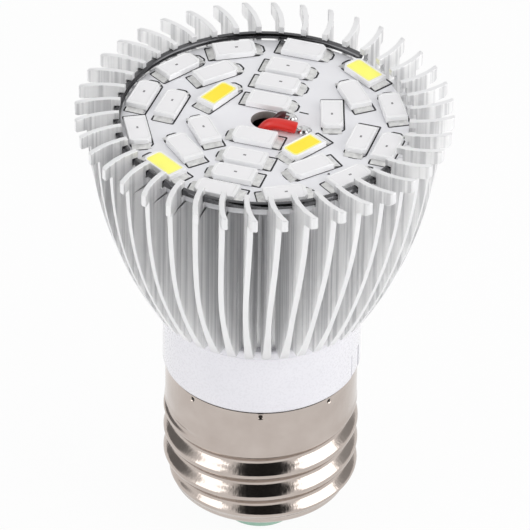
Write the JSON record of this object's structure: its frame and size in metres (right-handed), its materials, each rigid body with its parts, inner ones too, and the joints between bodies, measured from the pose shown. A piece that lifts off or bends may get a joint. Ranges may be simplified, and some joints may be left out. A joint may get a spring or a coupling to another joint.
{
  "type": "grow light bulb",
  "caption": "Screw-in grow light bulb: a round board of LEDs in the top of a finned aluminium heat sink, on a white collar and a threaded metal cap.",
  "frame": {"origin": "tip of the end contact, on the bulb's axis", "axes": "+Z along the axis from the cap to the light face; +X to the right of the picture's view and -Y towards it"},
  "size_m": [0.05, 0.05, 0.0665],
  "materials": {
    "turned_aluminium": "extruded, turned bright on the cut faces, satin on the fin sides",
    "ring_steel": "round spring wire, bright",
    "white_mask": "glossy white board",
    "led_white_body": "white moulded body with clear window",
    "led_pale_phosphor": "pale yellow phosphor",
    "led_deep_phosphor": "deep yellow phosphor",
    "nickel_plate": "nickel-plated sheet, rolled thread",
    "insulator_green": "pale green cap insulator",
    "contact_nickel": "nickel-plated button",
    "collar_white": "glossy moulded white",
    "driver_laminate": "green laminate",
    "resistor_body": "coated ceramic",
    "moulded_black": "moulded black",
    "film_box": "dipped film capacitor",
    "ferrite": "ferrite core and bobbin",
    "capacitor_sleeve": "shrink sleeve",
    "red_insulation": "red insulation",
    "black_insulation": "black insulation",
    "solder": "soldered joint"
  },
  "bodies": {
    "root": {"heat_sink": "turned_aluminium", "retaining_ring": "ring_steel", "led_board": "white_mask", "led_01": "led_white_body", "led_02": "led_white_body", "led_03": "led_white_body", "led_04": "led_white_body", "led_05": "led_pale_phosphor", "led_06": "led_white_body", "led_07": "led_white_body", "led_08": "led_white_body", "led_09": "led_white_body", "led_10": "led_white_body", "led_11": "led_pale_phosphor", "led_12": "led_white_body", "led_13": "led_white_body", "led_14": "led_white_body", "led_15": "led_white_body", "led_16": "led_white_body", "led_17": "led_white_body", "led_18": "led_white_body", "led_19": "led_white_body", "led_20": "led_deep_phosphor", "led_21": "led_white_body", "led_22": "led_white_body", "led_23": "led_white_body", "led_24": "led_deep_phosphor", "led_25": "led_white_body", "led_26": "led_white_body", "led_27": "led_white_body", "led_28": "led_white_body", "screw_shell": "nickel_plate", "cap_insulator": "insulator_green", "centre_contact": "contact_nickel", "collar": "collar_white", "driver_board": "driver_laminate", "fusible_resistor": "resistor_body", "bridge_rectifier": "moulded_black", "driver_chip": "moulded_black", "film_capacitor": "film_box", "transformer": "ferrite", "electrolytic_capacitor": "capacitor_sleeve", "positive_lead": "red_insulation", "negative_lead": "black_insulation", "live_lead": "red_insulation", "neutral_lead": "black_insulation", "positive_solder": "solder", "negative_solder": "solder"}
  },
  "joints": []
}
